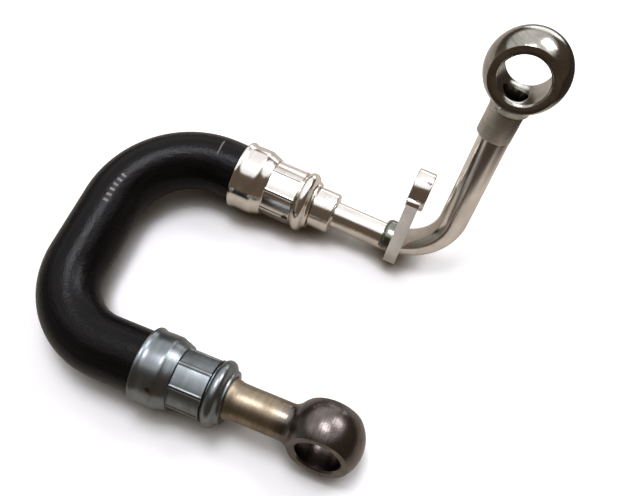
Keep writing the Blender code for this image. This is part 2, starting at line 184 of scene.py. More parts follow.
# The room's light: strength of the whole, and the colours of the bright panel and the window
ROOM_STRENGTH = 0.9
PANEL_LIGHT = (1.2, 1.2, 1.22, 1)
WINDOW_LIGHT = (3.0, 3.05, 3.1, 1)


def select_in_edit(piece, wanted):
    """Opens the piece for editing with just the vertices selected for which wanted is true."""
    bpy.ops.object.mode_set(mode="OBJECT")
    bpy.context.view_layer.objects.active = piece
    mesh = piece.data
    mesh.polygons.foreach_set("select", [False] * len(mesh.polygons))
    mesh.edges.foreach_set("select", [False] * len(mesh.edges))
    mesh.vertices.foreach_set("select", [bool(wanted(vertex.co / MM)) for vertex in mesh.vertices])
    bpy.ops.object.mode_set(mode="EDIT")
    bpy.ops.mesh.select_mode(type="VERT")


def name_piece(name):
    """Names what the last operator made and puts its place and size into its mesh."""
    piece = bpy.context.object
    piece.name = name
    piece.data.name = name
    bpy.ops.object.transform_apply(location=True, rotation=True, scale=True)
    return piece


def select_only(piece):
    bpy.ops.object.select_all(action="DESELECT")
    piece.select_set(True)
    bpy.context.view_layer.objects.active = piece


def turned(name, profile, steps=TURN_STEPS):
    """Turns a profile of (distance along X, radius) in millimetres round the X axis, as on a lathe."""
    bpy.ops.object.select_all(action="DESELECT")
    bpy.ops.mesh.primitive_plane_add(size=MM)
    piece = name_piece(name)
    bpy.ops.object.mode_set(mode="EDIT")
    bpy.ops.mesh.merge(type="CENTER")
    start = profile[0]
    bpy.ops.transform.translate(value=(start[0] * MM, start[1] * MM, 0))
    for before, after in zip(profile, profile[1:]):
        step = ((after[0] - before[0]) * MM, (after[1] - before[1]) * MM, 0)
        bpy.ops.mesh.extrude_vertices_move(TRANSFORM_OT_translate={"value": step})
    if profile[0][1] or profile[-1][1]:
        # A profile that doesn't end on the axis is a ring, so its ends are joined
        bpy.ops.mesh.select_all(action="DESELECT")
        bpy.ops.object.mode_set(mode="OBJECT")
        for index in (0, len(profile) - 1):
            piece.data.vertices[index].select = True
        bpy.ops.object.mode_set(mode="EDIT")
        bpy.ops.mesh.edge_face_add()
    bpy.ops.mesh.select_all(action="SELECT")
    bpy.ops.mesh.spin(steps=steps, angle=2 * math.pi, center=(0, 0, 0), axis=(1, 0, 0))
    bpy.ops.mesh.select_all(action="SELECT")
    bpy.ops.mesh.remove_doubles(threshold=SEAM)
    bpy.ops.mesh.normals_make_consistent(inside=False)
    bpy.ops.object.mode_set(mode="OBJECT")
    return piece


def arc(centre, radius, start, end, steps):
    """Points on an arc, with angles in degrees and both ends included."""
    angles = [math.radians(start + (end - start) * step / steps) for step in range(steps + 1)]
    return [(centre[0] + radius * math.cos(a), centre[1] + radius * math.sin(a)) for a in angles]


def apply_modifiers(piece):
    select_only(piece)
    for modifier in list(piece.modifiers):
        bpy.ops.object.modifier_apply(modifier=modifier.name)


def combine(piece, other, operation):
    boolean = piece.modifiers.new(operation.title(), "BOOLEAN")
    boolean.operation = operation
    boolean.solver = "EXACT"
    boolean.object = other
    apply_modifiers(piece)
    bpy.data.objects.remove(other, do_unlink=True)


def round_edges(piece, width, segments, angle):
    """Rounds the edges that turn by more than the angle, which is in degrees."""
    bevel = piece.modifiers.new("Edges", "BEVEL")
    bevel.width = width * MM
    bevel.segments = segments
    bevel.limit_method = "ANGLE"
    bevel.angle_limit = math.radians(angle)
    bevel.use_clamp_overlap = True
    bevel.miter_outer = "MITER_ARC"
    apply_modifiers(piece)


def hollow(piece, wall):
    """Gives an open skin a wall on its inside, with closed ends."""
    shell = piece.modifiers.new("Wall", "SOLIDIFY")
    shell.thickness = wall * MM
    shell.offset = -1.0
    shell.use_even_offset = True
    shell.use_rim = True
    apply_modifiers(piece)


def place(piece, placement):
    """Moves the piece to its place and puts that place into its mesh."""
    select_only(piece)
    piece.matrix_world = placement @ piece.matrix_world
    bpy.ops.object.transform_apply(location=True, rotation=True, scale=True)
    return piece


def finish_piece(piece, material, node):
    select_only(piece)
    bpy.ops.object.shade_smooth_by_angle(angle=SMOOTH_ANGLE)
    piece.data.materials.clear()
    piece.data.materials.append(material)
    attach(piece, "root")
    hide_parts(node)
    return piece


def pointed(origin, x_axis, z_hint):
    """A placement with its X along the given direction."""
    x_way = x_axis.normalized()
    y_way = z_hint.cross(x_way).normalized()
    z_way = x_way.cross(y_way)
    turn = Matrix((x_way, y_way, z_way)).transposed().to_4x4()
    return Matrix.Translation(origin * MM) @ turn


def bend_at(before, corner, after, radius):
    """Where a round bend starts, its centre, its axis and how far it turns."""
    way_in = (before - corner).normalized()
    way_out = (after - corner).normalized()
    half = way_in.angle(way_out) / 2
    start = corner + way_in * (radius / math.tan(half))
    centre = corner + (way_in + way_out).normalized() * (radius / math.sin(half))
    axis = (start - centre).cross(corner - centre).normalized()
    return start, centre, axis, math.pi - 2 * half


def extrude_to(here, there, steps):
    for _ in range(steps):
        step = tuple((there - here) * MM / steps)
        bpy.ops.mesh.extrude_region_move(TRANSFORM_OT_translate={"value": step})
    return there


def spin_bend(bend, steps):
    start, centre, axis, angle = bend
    # The spin operator turns the other way round its axis
    bpy.ops.mesh.spin(steps=steps, angle=-angle, center=tuple(centre * MM), axis=tuple(axis))
    return centre + Matrix.Rotation(angle, 3, axis) @ (start - centre)


def start_bar(name, start, way, radius, sides):
    """An open circle across the way that the bar takes, ready to be extruded."""
    bpy.ops.object.select_all(action="DESELECT")
    turn = way.to_track_quat("Z", "Y").to_euler()
    bpy.ops.mesh.primitive_circle_add(vertices=sides, radius=radius * MM, location=start * MM, rotation=turn)
    piece = name_piece(name)
    bpy.ops.object.mode_set(mode="EDIT")
    bpy.ops.mesh.select_all(action="SELECT")
    return piece


def finish_bar(bar):
    """Turns the faces of a swept bar outwards and closes it for editing."""
    bpy.ops.mesh.select_all(action="SELECT")
    bpy.ops.mesh.normals_make_consistent(inside=False)
    bpy.ops.object.mode_set(mode="OBJECT")
    return bar


def node(tree, kind, settings=None, **links):
    """Adds a node, with its settings, and joins or sets its inputs.

    An input's name is written with _ for a space, or as i and its number."""
    made = tree.nodes.new(kind)
    for key, value in (settings or {}).items():
        setattr(made, key, value)
    for key, value in links.items():
        numbered = key[0] == "i" and key[1:].isdigit()
        socket = made.inputs[int(key[1:]) if numbered else key.replace("_", " ")]
        if isinstance(value, bpy.types.NodeSocket):
            tree.links.new(value, socket)
        else:
            socket.default_value = value
    return made


def colour(hexadecimal):
    """A linear colour from the sRGB hex value of the finish."""
    values = [int(hexadecimal[start:start + 2], 16) / 255 for start in (0, 2, 4)]
    linear = [value / 12.92 if value <= 0.04045 else ((value + 0.055) / 1.055) ** 2.4 for value in values]
    return (*linear, 1.0)


def new_material(name):
    material = bpy.data.materials.new(name)
    material.use_nodes = True
    tree = material.node_tree
    return material, tree, tree.nodes["Principled BSDF"]


def plated_metal(name, placement, light, dark, roughness, rough_spread, grain, bump, beyond=None,
                 metallic=1.0, stains_and_shade=()):
    """A plated or turned metal, with streaks round its own axis, cloudy tone and fine pitting.

    grain is the spacing of the turning marks in millimetres. beyond gives where along the axis another
    pair of tones and another roughness take over. stains_and_shade are round marks, each a point, a radius
    and a colour: real stains, and painted shade in a recess."""
    material, tree, surface = new_material(name)
    coordinates = node(tree, "ShaderNodeTexCoord")
    local = node(tree, "ShaderNodeMapping", {"vector_type": "TEXTURE"}, Vector=coordinates.outputs["Object"],
                 Location=placement.to_translation(), Rotation=placement.to_euler()).outputs["Vector"]
    # Turning marks run round the axis, so the noise is fine along X and long across it
    streaks = node(tree, "ShaderNodeMapping", Vector=local, Scale=(1 / (grain * MM), 0.12 / MM, 0.12 / MM))
    marks = node(tree, "ShaderNodeTexNoise", Vector=streaks.outputs["Vector"], Scale=1.0, Detail=4.0,
                 Roughness=0.6).outputs["Fac"]
    # Clouds about 4.5 mm across, and pits drawn about 0.5 mm across so that they show
    clouds = node(tree, "ShaderNodeTexNoise", Vector=local, Scale=0.22 / MM, Detail=5.0,
                  Roughness=0.55).outputs["Fac"]
    pits = node(tree, "ShaderNodeTexNoise", Vector=local, Scale=2.2 / MM, Detail=2.0).outputs["Fac"]
    tone = node(tree, "ShaderNodeMix", {"data_type": "FLOAT"}, i0=0.35, i2=clouds, i3=marks).outputs[0]
    lightness = node(tree, "ShaderNodeMapRange", Value=tone, From_Min=0.30, From_Max=0.62).outputs["Result"]
    skin = node(tree, "ShaderNodeMix", MIX_COLOURS, i0=lightness, i6=colour(dark),
                i7=colour(light)).outputs[2]
    gloss = node(tree, "ShaderNodeMapRange", Value=tone, From_Min=0.3, From_Max=0.7,
                 To_Min=roughness + rough_spread, To_Max=roughness - rough_spread).outputs["Result"]
    if beyond:
        start, end, other_light, other_dark, rougher = beyond
        along = node(tree, "ShaderNodeSeparateXYZ", Vector=local).outputs["X"]
        share = node(tree, "ShaderNodeMapRange", Value=along, From_Min=start * MM,
                     From_Max=end * MM).outputs["Result"]
        other = node(tree, "ShaderNodeMix", MIX_COLOURS, i0=lightness, i6=colour(other_dark),
                     i7=colour(other_light)).outputs[2]
        skin = node(tree, "ShaderNodeMix", MIX_COLOURS, i0=share, i6=skin, i7=other).outputs[2]
        gloss = node(tree, "ShaderNodeMath", {"operation": "MULTIPLY_ADD"}, i0=share, i1=rougher,
                     i2=gloss).outputs["Value"]
    # Round marks: real stains, and painted shade in a recess
    for point, radius, mark_tone in stains_and_shade:
        away = node(tree, "ShaderNodeVectorMath", {"operation": "DISTANCE"}, i0=local,
                    i1=tuple(Vector(point) * MM)).outputs["Value"]
        near = node(tree, "ShaderNodeMapRange", Value=away, From_Min=0.6 * radius * MM,
                    From_Max=radius * MM, To_Min=0.9, To_Max=0.0).outputs["Result"]
        skin = node(tree, "ShaderNodeMix", MIX_COLOURS, i0=near, i6=skin, i7=colour(mark_tone)).outputs[2]
    tree.links.new(skin, surface.inputs["Base Color"])
    tree.links.new(gloss, surface.inputs["Roughness"])
    height = node(tree, "ShaderNodeMath", {"operation": "MULTIPLY_ADD"}, i0=marks, i1=0.6, i2=pits)
    relief = node(tree, "ShaderNodeBump", Strength=bump, Distance=0.04 * MM, Height=height.outputs["Value"])
    tree.links.new(relief.outputs["Normal"], surface.inputs["Normal"])
    surface.inputs["Metallic"].default_value = metallic
    return material


def moulded_rubber():
    """Black rubber, cured in a cloth wrap.

    The cloth left faint bands across it and a fine weave, and the carbon black in it gives a dull sheen that
    gathers into one soft stripe along its top."""
    material, tree, surface = new_material("cloth-wrapped black rubber")
    way = node(tree, "ShaderNodeAttribute", {"attribute_name": "hose_way"}).outputs["Vector"]
    patterns = []
    for size, detail, coarseness in ((WEAVE_SIZE, 2.0, 0.5), (BAND_SIZE, 3.0, 0.6), (CLOUD_SIZE, 4.0, 0.5)):
        scaled = node(tree, "ShaderNodeMapping", Vector=way, Scale=(1 / size[0], 1 / size[1], 1))
        pattern = node(tree, "ShaderNodeTexNoise", Vector=scaled.outputs["Vector"], Scale=1.0, Detail=detail,
                       Roughness=coarseness)
        patterns.append(pattern.outputs["Fac"])
    weave, bands, clouds = patterns
    split = node(tree, "ShaderNodeSeparateXYZ", Vector=way)

    def patch(share, middle, half_size):
        """Keeps the share inside a block of hose_way and makes it 0 outside."""
        for axis, centre, reach in zip("XYZ", middle, half_size):
            inside = node(tree, "ShaderNodeMath", {"operation": "COMPARE"}, i0=split.outputs[axis], i1=centre,
                          i2=reach).outputs["Value"]
            share = node(tree, "ShaderNodeMath", {"operation": "MULTIPLY"}, i0=share,
                         i1=inside).outputs["Value"]
        return share

    # A row of short pale ticks on top of the hose
    paces = node(tree, "ShaderNodeMath", {"operation": "MULTIPLY"}, i0=split.outputs["X"], i1=1 / TICK_PITCH)
    pace = node(tree, "ShaderNodeMath", {"operation": "FRACT"}, i0=paces.outputs["Value"])
    tick = node(tree, "ShaderNodeMath", {"operation": "COMPARE"}, i0=pace.outputs["Value"], i1=0.5,
                i2=TICK_HALF_SHARE).outputs["Value"]
    ticks = node(tree, "ShaderNodeMath", {"operation": "MULTIPLY"}, i0=tick, i1=weave).outputs["Value"]

    cloudiness = node(tree, "ShaderNodeMapRange", Value=clouds, From_Min=0.35, From_Max=0.65)
    skin = node(tree, "ShaderNodeMix", MIX_COLOURS, i0=cloudiness.outputs["Result"], i6=colour("0b0909"),
                i7=colour("141112")).outputs[2]
    marks = (
        (patch(weave, SCUFF_MIDDLE, SCUFF_HALF_SIZE), "8d8883"),
        (patch(ticks, TICKS_MIDDLE, TICKS_HALF_SIZE), "a5a19d"),
    )
    for share, pale in marks:
        skin = node(tree, "ShaderNodeMix", MIX_COLOURS, i0=share, i6=skin, i7=colour(pale)).outputs[2]
    tree.links.new(skin, surface.inputs["Base Color"])
    gloss = node(tree, "ShaderNodeMapRange", Value=bands, From_Min=0.3, From_Max=0.7, To_Min=0.30,
                 To_Max=0.22)
    tree.links.new(gloss.outputs["Result"], surface.inputs["Roughness"])
    height = node(tree, "ShaderNodeMath", {"operation": "MULTIPLY_ADD"}, i0=bands, i1=2.0, i2=weave)
    relief = node(tree, "ShaderNodeBump", Strength=0.45, Distance=0.12 * MM, Height=height.outputs["Value"])
    tree.links.new(relief.outputs["Normal"], surface.inputs["Normal"])
    surface.inputs["IOR"].default_value = 1.5
    surface.inputs["Specular IOR Level"].default_value = 0.13
    return material


def make_hose(material):
    upper_way = UPPER_LEG_TURN @ ALONG
    start = ALONG * HOSE_INSERTION
    corner = Vector((-HOSE_REACH, 0, 0))
    far_corner = UPPER_LIP + upper_way * ((-HOSE_REACH - UPPER_LIP.x) / upper_way.x)
    lower_bend = bend_at(start, corner, far_corner, LOWER_BEND_RADIUS)
    upper_bend = bend_at(corner, far_corner, UPPER_LIP, UPPER_BEND_RADIUS)
    hose = start_bar("hose_outside", start, Vector((-1, 0, 0)), HOSE_RADIUS, HOSE_SIDES)
    here = extrude_to(start, ALONG * HOSE_TAPER_END, 3)
    here = extrude_to(here, ALONG * HOSE_TAPER_START, 4)
    here = extrude_to(here, lower_bend[0], 12)
    here = spin_bend(lower_bend, 32)
    here = extrude_to(here, upper_bend[0], 14)
    here = spin_bend(upper_bend, 36)
    here = extrude_to(here, UPPER_LIP + upper_way * HOSE_TAPER_START, 8)
    here = extrude_to(here, UPPER_LIP + upper_way * HOSE_TAPER_END, 4)
    extrude_to(here, UPPER_LIP + upper_way * HOSE_INSERTION, 3)
    bpy.ops.object.mode_set(mode="OBJECT")
    note_hose_way(hose)
    # Inside the ferrules the hose is squeezed
    squeeze = HOSE_CRIMPED_RADIUS / HOSE_RADIUS
    squeeze_start = HOSE_TAPER_END - 0.5
    for lip, way in ((Vector((0, 0, 0)), ALONG), (UPPER_LIP, upper_way)):
        select_in_edit(hose, lambda point: (point - lip).dot(way) > squeeze_start
                       and abs((point - lip).y) < LEG_HALF_WIDTH)
        bpy.ops.transform.resize(value=(1, squeeze, squeeze), center_override=tuple((lip + way * 12) * MM))
    bpy.ops.object.mode_set(mode="EDIT")
    finish_bar(hose)
    hollow(hose, HOSE_WALL)
    place(hose, LOWER_LEG)
    return finish_piece(hose, material, "hose")


def note_hose_way(hose):
    """Writes where each point is, in millimetres, for the rubber's pattern: how far along the hose, how far
    over its middle line towards its top, and how far towards the inside of the U."""
    mesh = hose.data
    centres = []
    for first in range(0, len(mesh.vertices), HOSE_SIDES):
        ring = mesh.vertices[first:first + HOSE_SIDES]
        centres.append(sum((vertex.co for vertex in ring), Vector()) / HOSE_SIDES)
    travelled = [0.0]
    for before, after in zip(centres, centres[1:]):
        travelled.append(travelled[-1] + (after - before).length / MM)
    way = mesh.attributes.new("hose_way", "FLOAT_VECTOR", "POINT")
    for index in range(len(mesh.vertices)):
        # Two shares of the turn instead of its angle, so that the pattern meets itself with no seam
        turn = 2 * math.pi * (index % HOSE_SIDES) / HOSE_SIDES
        over, inwards = HOSE_RADIUS * math.cos(turn), HOSE_RADIUS * math.sin(turn)
        way.data[index].vector = (travelled[index // HOSE_SIDES], over, inwards)


def ferrule_profile():
    """The ferrule along its outside to its turned-in end and back inside, as (distance, radius)."""
    points = [(-0.6, 9.6), (-0.6, 10.25), (-0.45, 10.45), (-0.15, 10.5), (0.15, 10.46), (0.55, 10.28)]
    # The band, the shoulder and the step down to the flats
    points += [(1.0, 10.12), (1.6, 10.06), (2.4, 10.1), (3.4, 10.15), *arc((BAND_END, 7.6), 2.55, 90, 58, 8)]
    points += [(8.2, 9.42), (8.8, 9.2), (9.3, 9.0), (CRIMP_START - 0.1, 8.92)]
    points += [(CRIMP_START, RIDGE_RADIUS + 0.02)]
    ridge = CRIMP_END - CRIMP_START - 0.45
    points += [(CRIMP_START + 0.12 + ridge * step / 12, RIDGE_RADIUS) for step in range(13)]
    # The groove, the bead and the turned-in end
    points += [(CRIMP_END - 0.12, 8.55), (CRIMP_END, 8.2), (CRIMP_END + 0.1, GROOVE_RADIUS + 0.05)]
    points += [(CRIMP_END + 0.3, GROOVE_RADIUS)]
    points += [(BEAD_POSITION + BEAD_HALF_LENGTH * along, GROOVE_RADIUS + BEAD_HEIGHT * outward)
               for along, outward in arc((0, 0), 1, 172, 22, 16)]
    points += [(22.7, 8.0), (22.9, 7.68), (23.15, 7.45), (23.4, 7.34), *arc((23.6, 7.0), 0.3, 90, 0, 5)]
    points += [(FERRULE_END, FERRULE_HOLE_RADIUS + 0.15), (FERRULE_END - 0.15, FERRULE_HOLE_RADIUS)]
    inside = [(22.8, FERRULE_HOLE_RADIUS), (22.3, 6.9), (20.75, 7.7), (19.0, 7.0), (CRIMP_START + 0.2, 7.3)]
    return [*points, *inside, (8.6, 8.4), (5.8, 9.2), (0.6, 9.2)]


def make_ferrule(name, leg, roll, material, node_name, pocket=None):
    """A pressed sleeve: turned, then squeezed by eight dies that leave a flat each and a ridge between."""
    ferrule = turned(name, ferrule_profile(), FERRULE_STEPS)
    pitch = 2 * math.pi / CRIMP_FLATS

    def on_top_flat(point):
        between_ends = CRIMP_START + 0.05 < point.x < CRIMP_END - 0.2
        under_die = abs(math.atan2(point.y, point.z)) < PANEL_HALF_ANGLE
        return between_ends and under_die and math.hypot(point.y, point.z) > GROOVE_RADIUS

    for _ in range(CRIMP_FLATS):
        place(ferrule, Matrix.Rotation(pitch, 4, "X"))
        select_in_edit(ferrule, on_top_flat)
        bpy.ops.transform.resize(value=(1, 1, PANEL_ROUNDNESS), center_override=(0, 0, PANEL_DISTANCE * MM))
        bpy.ops.object.mode_set(mode="OBJECT")
    place(ferrule, Matrix.Rotation(roll + pitch / 2, 4, "X"))
    if pocket:
        bpy.ops.mesh.primitive_uv_sphere_add(segments=32, ring_count=20, radius=MM,
                                             location=Vector(pocket) * MM, scale=POCKET_HALF_SIZE)
        combine(ferrule, name_piece("pocket_cutter"), "DIFFERENCE")
    place(ferrule, leg)
    return finish_piece(ferrule, material, node_name)


def tail_points():
    """The barbed tail inside the hose, from its end to the end of the ferrule."""
    points = [(TAIL_START, TAIL_RADIUS)]
    for barb in range(BARB_COUNT):
        end = TAIL_START + (barb + 1) * BARB_PITCH
        points += [(end - 0.5, BARB_RADIUS), (end, BARB_RADIUS), (end, TAIL_RADIUS)]
    points += [(TAIL_NECK_START, TAIL_RADIUS), (TAIL_NECK_START, TAIL_NECK_RADIUS)]
    return [*points, (FLANGE_START, TAIL_NECK_RADIUS)]


def neck_into_ball(neck_radius, ball_centre):
    """The fillet from a neck to its ball, and the ball itself."""
    reach = BALL_RADIUS + NECK_FILLET_RADIUS
    height = neck_radius + NECK_FILLET_RADIUS
    back = math.sqrt(reach**2 - height**2)
    swing = math.degrees(math.atan2(back, height))
    fillet = arc((ball_centre - back, height), NECK_FILLET_RADIUS, -90, -90 + swing, 12)
    ball = arc((ball_centre, 0), BALL_RADIUS, 90 + swing, 0, 56)
    return fillet + ball[1:]


def spool(placement):
    """What a banjo loses: the bore, its chamfers, and all beyond its two flat faces."""
    wide = BALL_RADIUS + 1
    mouth = BANJO_BORE_RADIUS + BANJO_CHAMFER
    half = [(wide, 0), (wide, wide), (FACE_HALF_WIDTH, wide), (FACE_HALF_WIDTH, mouth)]
    half += [(FACE_HALF_WIDTH - BANJO_CHAMFER, BANJO_BORE_RADIUS)]
    other = [(-along, radius) for along, radius in reversed(half)]
    return place(turned("spool_cutter", half + other), placement)


def drill(start, end, radius):
    """What a drilled passage takes away, along X."""
    return turned("passage_cutter", [(start, 0), (start, radius), (end, radius), (end, 0)], PASSAGE_SIDES)


def make_lower_fitting(material):
    flare = [(FLANGE_START, 5.6), (FERRULE_END, 5.7), (24.4, 5.62), (25.2, 5.36), (26.0, 5.17)]
    profile = [(TAIL_START, 0), *tail_points(), *flare, (27.0, SHANK_RADIUS), (SHANK_END, SHANK_RADIUS)]
    profile += neck_into_ball(SHANK_RADIUS, LOWER_BALL_POSITION)
    fitting = turned("lower_banjo_head", profile)
    bore_way = Vector((0, -math.cos(LOWER_BORE_TILT), math.sin(LOWER_BORE_TILT)))
    combine(fitting, spool(pointed(ALONG * LOWER_BALL_POSITION, bore_way, ALONG)), "DIFFERENCE")
    combine(fitting, drill(0, LOWER_BALL_POSITION, PASSAGE_RADIUS), "DIFFERENCE")
    round_edges(fitting, 0.15, 2, 40)
    place(fitting, LOWER_LEG)
    return finish_piece(fitting, material, "lower_banjo_fitting")


def make_nipple(material):
    flange_end = FERRULE_END + 0.1
    outside = [*tail_points(), (FLANGE_START, 5.7), (flange_end, 5.7), (flange_end, COLLAR_RADIUS - 0.3)]
    outside += [(FERRULE_END + 0.4, COLLAR_RADIUS)]
    outside += arc((COLLAR_END - COLLAR_ROUNDING, COLLAR_RADIUS - COLLAR_ROUNDING), COLLAR_ROUNDING, 90, 0, 5)
    # A small fillet closes the corner between the collar and the tube
    outside += [(COLLAR_END, TUBE_RADIUS + 0.7), (COLLAR_END + 0.35, TUBE_RADIUS + 0.15)]
    inside = [(COLLAR_END, TUBE_RADIUS - 0.3), (SOCKET_START, TUBE_RADIUS - 0.3)]
    inside += [(SOCKET_START, PASSAGE_RADIUS), (TAIL_START, PASSAGE_RADIUS)]
    nipple = place(turned("nipple_collar", outside + inside), UPPER_LEG)
    return finish_piece(nipple, material, "upper_nipple")


def sweep_tube(name, radius):
    """An open skin that follows the tube from the nipple round its bend and up to the eye's neck."""
    start = ALONG * TUBE_START
    end = BALL_CENTRE - RISE * (UPPER_NECK_LENGTH - TUBE_IN_NECK)
    bend = bend_at(start, ALONG * TUBE_CORNER, end, TUBE_BEND_RADIUS)
    tube = start_bar(name, start, ALONG, radius, TUBE_SIDES)
    extrude_to(start, bend[0], 6)
    here = spin_bend(bend, 40)
    extrude_to(here, end, 8)
    return finish_bar(tube)


def make_tube(material):
    tube = sweep_tube("pipe", TUBE_RADIUS)
    hollow(tube, TUBE_WALL)
    place(tube, UPPER_LEG)
    return finish_piece(tube, material, "steel_tube")


def disc(name, radius, depth, centre):
    """An upright cylinder, for the plate while it lies flat."""
    bpy.ops.mesh.primitive_cylinder_add(vertices=PLATE_SIDES, radius=radius * MM, depth=depth * MM,
                                        location=[value * MM for value in centre])
    return name_piece(name)


def close_ends(bar):
    bpy.ops.object.mode_set(mode="EDIT")
    bpy.ops.mesh.select_all(action="DESELECT")
    bpy.ops.mesh.select_non_manifold()
    bpy.ops.mesh.edge_face_add()
    bpy.ops.mesh.select_all(action="SELECT")
    bpy.ops.mesh.fill_holes(sides=0)
    bpy.ops.mesh.normals_make_consistent(inside=False)
    bpy.ops.object.mode_set(mode="OBJECT")
    return bar


def make_plate(material, collar_material, corner_material):
    """A plate with a round lobe at the tube, a strip to the bush and a half collar that hugs the tube."""
    bpy.ops.object.select_all(action="DESELECT")
    plate = disc("bracket_strip", PLATE_LOBE_RADIUS, PLATE_THICKNESS, (0, 0, 0))
    strip_size = (STRIP_LENGTH * MM, 2 * PLATE_HALF_WIDTH * MM, PLATE_THICKNESS * MM)
    bpy.ops.mesh.primitive_cube_add(size=1, location=(STRIP_LENGTH / 2 * MM, 0, 0), scale=strip_size)
    strip = name_piece("strip_joined")
    # The strip's corners at the bush are well rounded
    for side in (1, -1):
        select_in_edit(strip, lambda point: point.x > 1 and point.y * side > 0)
        bpy.ops.mesh.bevel(offset=STRIP_CORNER * MM, segments=8, affect="EDGES")
        bpy.ops.object.mode_set(mode="OBJECT")
    combine(plate, strip, "UNION")
    mouth = disc("mouth_cutter", BUSH_RADIUS + 0.05, 3 * PLATE_THICKNESS, (BUSH_DISTANCE, 0, 0))
    combine(plate, mouth, "DIFFERENCE")
    reach = HALF_COLLAR_LENGTH + PLATE_THICKNESS / 2
    collar = disc("half_collar_joined", HALF_COLLAR_RADIUS, reach, (0, 0, -reach / 2))
    round_edges(collar, HALF_COLLAR_ROUNDING, 8, 60)
    bpy.ops.object.mode_set(mode="EDIT")
    bpy.ops.mesh.select_all(action="SELECT")
    bpy.ops.mesh.bisect(plane_co=(-HALF_COLLAR_CUT * MM, 0, 0), plane_no=(1, 0, 0), use_fill=True,
                        clear_inner=True)
    bpy.ops.object.mode_set(mode="OBJECT")
    combine(plate, collar, "UNION")
    # The plate lay flat: its thickness turns along the leg and its strip towards the bush
    flat = Matrix((STRIP_WAY, ALONG.cross(STRIP_WAY), ALONG)).transposed().to_4x4()
    middle = ALONG * (PLATE_START + PLATE_THICKNESS / 2)
    place(plate, Matrix.Translation(middle * MM) @ flat)
    # The hole is a hair tighter than the tube, so no slit shows round it
    combine(plate, close_ends(sweep_tube("tube_hole_cutter", TUBE_RADIUS - 0.02)), "DIFFERENCE")
    round_edges(plate, 0.3, 3, 40)
    kinds = []
    for face in plate.data.polygons:
        on_collar = face.center.x / MM < PLATE_START - 0.05
        on_corner = face.center.dot(STRIP_WAY) / MM > STRIP_LENGTH - STRIP_CORNER
        kinds.append(1 if on_collar else 2 if on_corner else 0)
    place(plate, UPPER_LEG)
    finish_piece(plate, material, "bracket_plate")
    plate.data.materials.append(collar_material)
    plate.data.materials.append(corner_material)
    plate.data.polygons.foreach_set("material_index", kinds)
    return plate


def make_bush(material):
    rounded = BUSH_RADIUS - BUSH_ROUNDING
    outside = arc((BUSH_ROUNDING, rounded), BUSH_ROUNDING, 180, 90, 5)
    outside += arc((BUSH_LENGTH - BUSH_ROUNDING, rounded), BUSH_ROUNDING, 90, 0, 5)
    mouth = BUSH_BORE_RADIUS + BUSH_CHAMFER
    inside = [(BUSH_LENGTH, mouth), (BUSH_LENGTH - BUSH_CHAMFER, BUSH_BORE_RADIUS)]
    inside += [(BUSH_CHAMFER, BUSH_BORE_RADIUS), (0, mouth)]
    bush = turned("bracket_sleeve", outside + inside)
    offset = ALONG * (PLATE_START - BUSH_SET_BACK) + STRIP_WAY * BUSH_DISTANCE
    place(bush, UPPER_LEG @ Matrix.Translation(offset * MM))
    return finish_piece(bush, material, "bracket_bush")


def make_eye(material):
    """The upper banjo. In its own frame X runs up its neck and Z across the leg."""
    foot = -UPPER_NECK_LENGTH
    neck = [(foot, 0), (foot, UPPER_NECK_RADIUS - 0.3), (foot + 0.3, UPPER_NECK_RADIUS)]
    shoulder = [(-10.9, UPPER_NECK_RADIUS), (-10.75, 4.42), (-10.6, 4.75), (-10.3, 5.05), (-9.7, 5.2),
                (-9.2, 5.38)]
    ball = arc((0, 0), BALL_RADIUS, 147.3, 0, 56)
    eye = turned("upper_banjo_head", [*neck, *shoulder, *ball])
    # The neck leans a little to the right of the tube
    select_in_edit(eye, lambda point: point.x < -BALL_RADIUS - 0.2)
    bpy.ops.transform.rotate(value=UPPER_NECK_LEAN, orient_axis="Y", center_override=(0, 0, 0))
    bpy.ops.object.mode_set(mode="OBJECT")
    upright = pointed(Vector((0, 0, 0)), RISE, ALONG)
    across_rise = Vector((0, -RISE.z, RISE.y))
    bore_way = across_rise * math.cos(UPPER_BORE_YAW) - ALONG * math.sin(UPPER_BORE_YAW)
    place(eye, upright)
    combine(eye, spool(pointed(Vector((0, 0, 0)), bore_way, RISE)), "DIFFERENCE")
    # The passage comes in a little nearer to one face than to the other
    offset = Matrix.Translation((bore_way * 1.2 - ALONG * 0.45) * MM)
    passage = place(drill(foot - 1, 0, UPPER_PASSAGE_RADIUS), offset @ upright)
    combine(eye, passage, "DIFFERENCE")
    round_edges(eye, 0.15, 2, 40)
    place(eye, UPPER_LEG @ Matrix.Translation(BALL_CENTRE * MM))
    return finish_piece(eye, material, "upper_banjo_eye")


def make_camera():
    data = bpy.data.cameras.new("camera")
    data.sensor_width = CAMERA_SENSOR
    data.sensor_fit = "HORIZONTAL"
    data.lens = CAMERA_LENS
    data.clip_start = 0.01
    camera = bpy.data.objects.new("camera", data)
    bpy.context.scene.collection.objects.link(camera)
    right = CAMERA_RIGHT.normalized()
    back = CAMERA_BACK.normalized()
    up = back.cross(right).normalized()
    turn = Matrix((right, up, back)).transposed().to_4x4()
    camera.matrix_world = Matrix.Translation(CAMERA_PLACE * MM) @ turn
    bpy.context.scene.camera = camera


